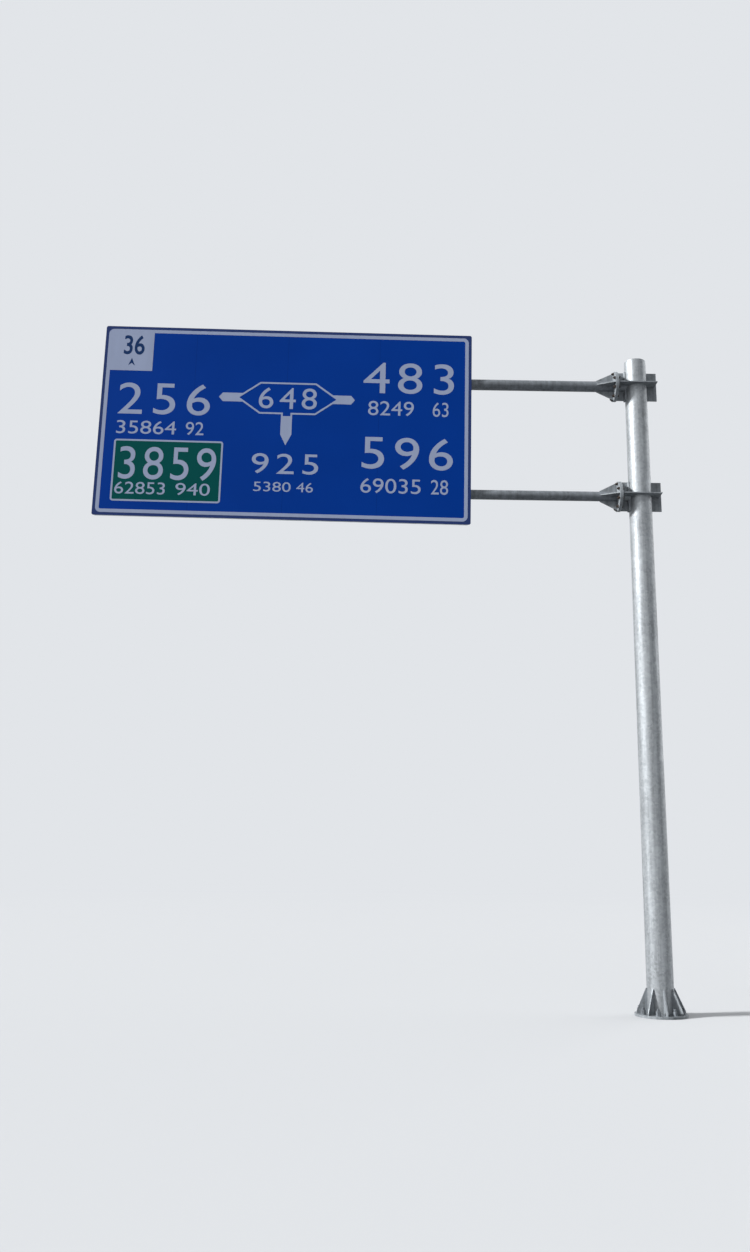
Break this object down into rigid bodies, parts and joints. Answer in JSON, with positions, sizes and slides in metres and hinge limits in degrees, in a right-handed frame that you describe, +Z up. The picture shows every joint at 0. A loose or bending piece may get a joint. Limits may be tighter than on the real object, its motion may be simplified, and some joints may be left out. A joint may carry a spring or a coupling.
{
  "type": "cantilever sign gantry",
  "caption": "Galvanised cantilever sign gantry: a tapered round mast, round arms on bolted flanges, and a rectangular road sign clamped to the arms on rails.",
  "frame": {"origin": "on the axis of the mast, on the underside of its base flange", "axes": "+Z up along the mast; the arms run towards -X; the face of the sign looks towards -Y"},
  "size_m": [6.6921, 0.56, 7.8385],
  "materials": {
    "galvanised_steel": "hot-dip galvanised",
    "mill_aluminium": "mill",
    "blue_sheeting": "blue retroreflective sheeting on aluminium sheet",
    "white_sheeting": "white retroreflective film",
    "green_sheeting": "green retroreflective film",
    "bolt_steel": "high-strength bolts, weathered and browned with rust"
  },
  "bodies": {
    "root": {"mast_tube": "galvanised_steel", "mast_cap": "galvanised_steel", "base_flange": "galvanised_steel", "base_gussets": "galvanised_steel", "upper_stub": "galvanised_steel", "upper_mast_flange": "galvanised_steel", "upper_ring_plate": "galvanised_steel", "upper_stub_ribs": "galvanised_steel", "upper_far_ribs": "galvanised_steel", "upper_pads": "galvanised_steel", "upper_arm_flange": "galvanised_steel", "upper_arm_gussets": "galvanised_steel", "upper_arm_tube": "galvanised_steel", "upper_arm_cap": "galvanised_steel", "upper_straps": "galvanised_steel", "upper_saddles": "mill_aluminium", "lower_stub": "galvanised_steel", "lower_mast_flange": "galvanised_steel", "lower_ring_plate": "galvanised_steel", "lower_stub_ribs": "galvanised_steel", "lower_far_ribs": "galvanised_steel", "lower_pads": "galvanised_steel", "lower_arm_flange": "galvanised_steel", "lower_arm_gussets": "galvanised_steel", "lower_arm_tube": "galvanised_steel", "lower_arm_cap": "galvanised_steel", "lower_straps": "galvanised_steel", "lower_saddles": "mill_aluminium", "sign_panel_1": "blue_sheeting", "sign_panel_2": "blue_sheeting", "sign_panel_3": "blue_sheeting", "sign_panel_4": "blue_sheeting", "seam_strips": "mill_aluminium", "edging_top": "mill_aluminium", "edging_bottom": "mill_aluminium", "edging_left": "mill_aluminium", "edging_right": "mill_aluminium", "rail_1": "mill_aluminium", "rail_2": "mill_aluminium", "rail_3": "mill_aluminium", "rail_4": "mill_aluminium", "rail_5": "mill_aluminium", "rail_6": "mill_aluminium", "rail_7": "mill_aluminium", "rail_8": "mill_aluminium"}
  },
  "joints": []
}
